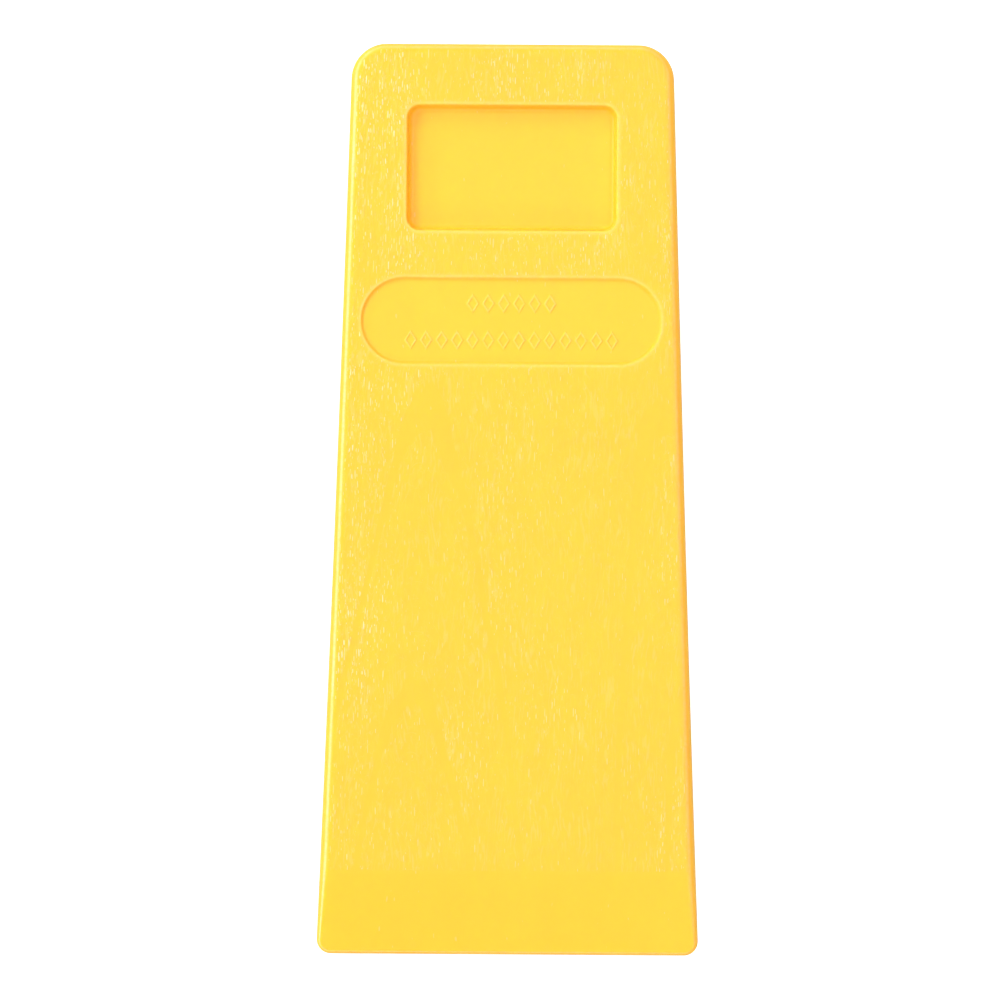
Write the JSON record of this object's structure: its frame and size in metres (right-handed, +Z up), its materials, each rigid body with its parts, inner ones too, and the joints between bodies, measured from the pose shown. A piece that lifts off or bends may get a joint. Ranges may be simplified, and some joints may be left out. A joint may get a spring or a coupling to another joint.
{
  "type": "felling wedge",
  "caption": "Solid plastic wedge for tree felling, with a blunt bevelled tip, a flat striking face and shallow label recesses on both broad faces.",
  "frame": {"origin": "bottom centre of the bounding box, on the plane the lower working face rests on", "axes": "+Y along the wedge towards the striking face, -Y towards the tip, +Z up out of the resting face, X across the width"},
  "size_m": [0.0836, 0.2004, 0.0277],
  "materials": {
    "wedge_plastic": "semi-gloss moulded, wood-grain relief on the broad faces"
  },
  "bodies": {
    "root": {"wedge_body": "wedge_plastic"}
  },
  "joints": []
}
